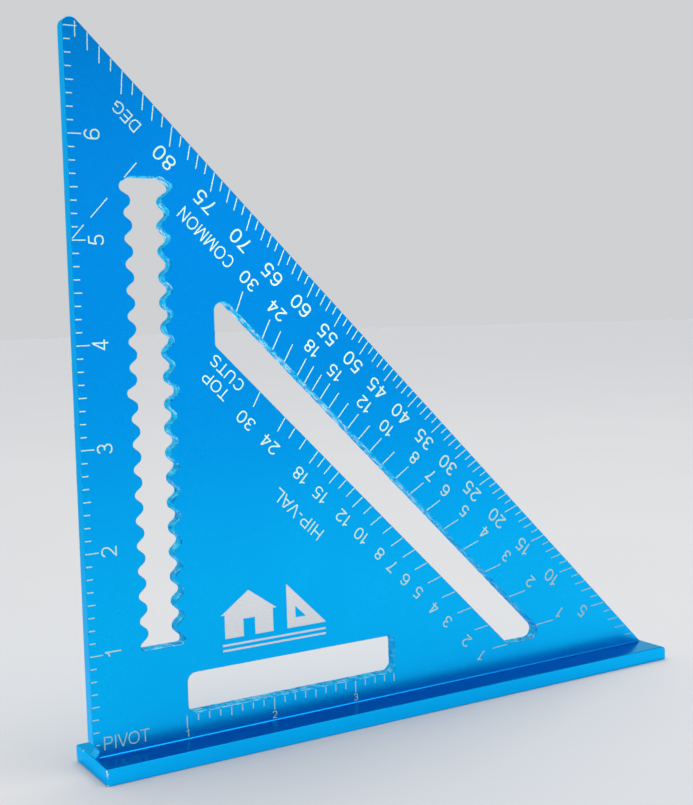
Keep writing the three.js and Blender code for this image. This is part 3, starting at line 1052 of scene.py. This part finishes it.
def slot_wall():
    """Punched walls: a burnished band at the front, torn and flecked metal behind it."""
    n = Surface("blade_slot_wall")
    geometry = n.add("ShaderNodeNewGeometry")
    position = geometry.outputs["Position"]
    axes = n.add("ShaderNodeSeparateXYZ", {0: position}).outputs
    facing = n.add("ShaderNodeSeparateXYZ", {0: geometry.outputs["True Normal"]}).outputs["Z"]
    # The line between the two bands wanders along the wall.
    drift = n.span(n.noise(position, 160.0, detail=3.0), 0.3, 0.7, -0.9 * MM, 0.9 * MM)
    torn = n.span(n.math("ADD", axes["Y"], drift), -0.9 * MM, 0.1 * MM)
    drawn = n.noise(n.stretch(position, (1.0, 0.3, 1.0)), 900.0, detail=5.0, roughness=0.72)
    smear = n.noise(n.stretch(position, (0.5, 1.0, 0.5)), 800.0, detail=5.0, roughness=0.78)
    pit = n.noise(position, 620.0, detail=5.0, roughness=0.8)
    colour = n.mix(n.span(drawn, 0.38, 0.62), WALL_DEEP, WALL_BRIGHT)
    # Pale flecks of bare metal, partly real and partly painted light: the punch dragged them over
    # the walls that face down, painted light thickens them towards the apex, and the walls that
    # face up get a pale painted highlight.
    downward = n.span(facing, -0.6, 0.0, 1.0, 0.08)
    upward = n.span(facing, 0.5, 0.9)
    flecks_and_light = n.math("MULTIPLY", downward, n.span(axes["Z"], *PAINTED_LIGHT_HEIGHTS, 0.35, 1.0))
    flecks_and_light = n.math("MULTIPLY", flecks_and_light, n.span(torn, 0.0, 1.0, 0.75, 1.0))
    flecks_and_light = n.math("MAXIMUM", flecks_and_light, n.math("MULTIPLY", upward, 0.4))
    pale = n.math("MULTIPLY", n.span(smear, 0.51, 0.55), flecks_and_light)
    # Painted shade: the walls darken towards the bottom, less so where they face up.
    painted_shade = n.span(axes["Z"], *PAINTED_LIGHT_HEIGHTS, 0.45, 0.0, smooth=False)
    painted_shade = n.math("MULTIPLY", painted_shade, n.span(upward, 0.0, 1.0, 1.0, 0.15))
    colour = n.mix(painted_shade, colour, WALL_PAINTED_SHADE)
    colour = n.mix(pale, colour, WALL_PALE_FLECK)
    # Painted shade of small dents: dark spots on the torn metal and along the rim of the front
    # edge.
    rim = n.span(axes["Y"], -1.75 * MM, -1.3 * MM, 0.9, 0.3)
    dent_shade_area = n.math("MAXIMUM", rim, n.span(torn, 0.0, 1.0, 0.3, 0.85))
    dark = n.math("MULTIPLY", n.span(pit, 0.57, 0.62), dent_shade_area)
    colour = n.mix(dark, colour, WALL_DENT_SHADE)
    roughness = n.span(torn, 0.0, 1.0, 0.3, 0.45)
    height = n.math("ADD", n.math("MULTIPLY", drawn, 0.6), n.math("MULTIPLY", smear, 1.2))
    normal = n.bump(n.math("MULTIPLY", height, n.span(torn, 0.0, 1.0, 0.3, 1.0)), 0.6, 0.00018)
    shader = n.add(
        "ShaderNodeBsdfPrincipled",
        {
            "Base Color": colour,
            "Metallic": 0.9,
            "Roughness": roughness,
            "Specular Tint": SHEENLESS,
            "Normal": normal,
        },
    )
    return n.finish(shader.outputs[0])


def etched(name, colour):
    """The matt light grey where the anodising is etched away, with a faint mottle."""
    n = Surface(name)
    position = n.add("ShaderNodeNewGeometry").outputs["Position"]
    mottle = n.span(n.noise(position, 2200.0, detail=3.0), 0.3, 0.7)
    darker = tuple(0.9 * c for c in colour) + (1,)
    normal = n.bump(n.noise(position, 7000.0, detail=2.0), 0.3, 0.00002)
    shader = n.add(
        "ShaderNodeBsdfPrincipled",
        {
            "Base Color": n.mix(mottle, darker, colour + (1,)),
            "Roughness": 0.6,
            "Normal": normal,
        },
    )
    return n.finish(shader.outputs[0])


# ---------------------------------------------------------------- build the part

FRONT = -HALF_BLADE
# How far in front of the face the engraving's cutter starts.
CUTTER_MARGIN = 0.5


def cutter_object(groups):
    """Every mark in the groups as one object, reaching the bottom of the grooves."""
    joined = bmesh.new()
    for marks in groups:
        part = marks.prisms(FRONT - CUTTER_MARGIN, FRONT + GROOVE_DEPTH)
        scratch = bpy.data.meshes.new("scratch")
        part.to_mesh(scratch)
        part.free()
        joined.from_mesh(scratch)
        bpy.data.meshes.remove(scratch)
    return to_object("cutter", joined, [])


def engrave(body, cutter):
    """Cuts the cutter out of the body and removes the cutter."""
    cut = body.modifiers.new("engrave", "BOOLEAN")
    cut.solver = "MANIFOLD"
    cut.operation = "DIFFERENCE"
    cut.object = cutter
    bpy.context.view_layer.update()
    graph = bpy.context.evaluated_depsgraph_get()
    engraved = bpy.data.meshes.new_from_object(body.evaluated_get(graph))
    body.modifiers.clear()
    body.data = engraved
    body.data.name = body.name
    bpy.data.objects.remove(cutter)


face_finish = anodised("blade_anodised")
# The edge's painted sheen is as strong at the heel as at the toe.
edge_finish = anodised("blade_edge", grain=(1.0, 0.2, 0.2), rough=0.34, sheen_at_heel=1.0)
fence_finish = anodised("fence_anodised", grain=(0.04, 1.0, 1.0), rough=0.21, chips=True)
wall_finish = slot_wall()
# Fine lines keep a trace of the dye along their edges; the solid emblem is bare.
line_finish = etched("etched_lines", (0.42, 0.55, 0.44))
emblem_finish = etched("etched_emblem", (0.5, 0.505, 0.49))

blade = plate("blade_body", [face_finish, wall_finish, edge_finish])
fence = fence_mesh("fence_body", [fence_finish])

inlays = {
    "graduations": graduations(-BEVEL),
    "numerals": numerals(),
    "legends": legends(),
    "pictogram": pictogram(),
}
grooves = [graduations(OVERRUN)] + [inlays[k] for k in ("numerals", "legends", "pictogram")]
engrave(blade, cutter_object(grooves))

pieces = [blade, fence]
for name, marks in inlays.items():
    inlay = marks.prisms(FRONT + INLAY_DEPTH, FRONT + GROOVE_DEPTH - INLAY_CLEARANCE)
    finish = emblem_finish if name == "pictogram" else line_finish
    pieces.append(to_object(name, inlay, [finish]))
for piece in pieces:
    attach(piece, "root")
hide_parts("blade")
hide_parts("fence")

# ------------------------------------------------------------------- the studio


FLOOR_RADIUS = 6.0
HORIZON = (0.627, 0.636, 0.652, 1)


def pale_floor():
    n = Surface("floor")
    position = n.add("ShaderNodeNewGeometry").outputs["Position"]
    seen = n.add("ShaderNodeLightPath").outputs["Is Camera Ray"]
    axes = n.add("ShaderNodeSeparateXYZ", {0: position}).outputs
    plain = n.mix(n.noise(position, 9.0), (0.61, 0.605, 0.595, 1), (0.635, 0.63, 0.62, 1))
    # Reflections see a floor with painted light: a brighter pool by the object, above all beside
    # the heel, and a dimmer, cooler painted tone far in front of it.
    beside = n.mix(n.span(axes["X"], -0.05, 0.06), (0.92, 0.92, 0.93, 1), (0.78, 0.79, 0.82, 1))
    near = n.mix(n.span(axes["Y"], -0.07, -0.02), (0.81, 0.81, 0.81, 1), beside)
    near = n.mix(n.span(axes["Y"], 0.02, 0.14), near, (0.74, 0.75, 0.77, 1))
    mirrored = n.mix(n.span(axes["Y"], -0.62, -0.26, 1.0, 0.0), near, (0.39, 0.46, 0.68, 1))
    shader = n.add(
        "ShaderNodeBsdfPrincipled",
        {"Base Color": n.mix(seen, mirrored, plain), "Roughness": 0.7, "Specular IOR Level": 0.2},
    )
    material = n.finish(shader.outputs[0])
    bm = bmesh.new()
    bmesh.ops.create_circle(bm, cap_ends=True, segments=96, radius=FLOOR_RADIUS)
    floor = to_object("floor", bm, [material])


def studio_world():
    """A plain backdrop for the camera, and a graded room for everything else."""
    world = bpy.data.worlds.new("studio")
    bpy.context.scene.world = world
    world.use_nodes = True
    n = Nodes(world.node_tree)
    background = n.tree.nodes["Background"]
    way = n.add("ShaderNodeTexCoord").outputs["Generated"]
    axes = n.add("ShaderNodeSeparateXYZ", {0: way}).outputs
    front = n.mix(n.span(axes["Z"], 0.16, 0.32), (0.58, 0.70, 1.14, 1), (0.06, 0.08, 0.13, 1))
    back = n.mix(n.span(axes["X"], -0.6, 0.8), (0.9, 0.92, 0.94, 1), (0.6, 0.63, 0.67, 1))
    around = n.mix(n.span(axes["Y"], -0.3, 0.4), front, back)
    around = n.mix(n.span(axes["Z"], 0.6, 0.85), around, (0.95, 0.97, 1.0, 1))
    seen = n.add("ShaderNodeLightPath").outputs["Is Camera Ray"]
    n.tree.links.new(n.mix(seen, around, HORIZON), background.inputs["Color"])
    background.inputs["Strength"].default_value = 1.0


def softbox(name, location, target, width, height, watts):
    data = bpy.data.lights.new(name, "AREA")
    data.shape = "RECTANGLE"
    data.size, data.size_y = width, height
    data.energy = watts
    lamp = bpy.data.objects.new(name, data)
    lamp.visible_camera = False
    lamp.location = location
    lamp.rotation_euler = (Vector(target) - Vector(location)).to_track_quat("-Z", "Y").to_euler()
    bpy.context.scene.collection.objects.link(lamp)
    return lamp


def skylight(strength):
    """An even overhead light, broad enough to keep every shadow soft."""
    data = bpy.data.lights.new("skylight", "SUN")
    data.energy = strength
    data.angle = math.radians(50)
    lamp = bpy.data.objects.new("skylight", data)
    lamp.rotation_euler = (math.radians(-8), math.radians(6), 0)
    lamp.visible_camera = False
    lamp.visible_glossy = False
    bpy.context.scene.collection.objects.link(lamp)


CAMERA_PLACE = (-0.19466, -0.29224, 0.11338)
CAMERA_TURN = (86.334, 1.766, -30.159)


def camera():
    data = bpy.data.cameras.new("camera")
    data.sensor_width = 36.0
    data.lens = 56.196
    data.shift_x, data.shift_y = 0.0405, -0.0186
    data.clip_start, data.clip_end = 0.01, 20.0
    made = bpy.data.objects.new("camera", data)
    made.location = CAMERA_PLACE
    made.rotation_euler = [math.radians(degrees) for degrees in CAMERA_TURN]
    bpy.context.scene.collection.objects.link(made)
    bpy.context.scene.camera = made


pale_floor()
studio_world()
skylight(1.15)
softbox("key", (0.36, -0.36, 1.2), (0, 0, 0.06), 0.9, 0.9, 3.9)
# The fill lifts only the matt marks: it is not reflected, and it leaves the floor alone.
fill = softbox("fill", (-0.036, -0.112, 0.118), (-0.036, 0, 0.115), 0.08, 0.08, 0.2)
fill.visible_glossy = False
fill.light_linking.receiver_collection = bpy.data.collections.new("marked")
for piece in pieces:
    fill.light_linking.receiver_collection.objects.link(piece)
camera()
bpy.context.scene.view_settings.view_transform = "Standard"
bpy.context.scene.view_settings.look = "None"
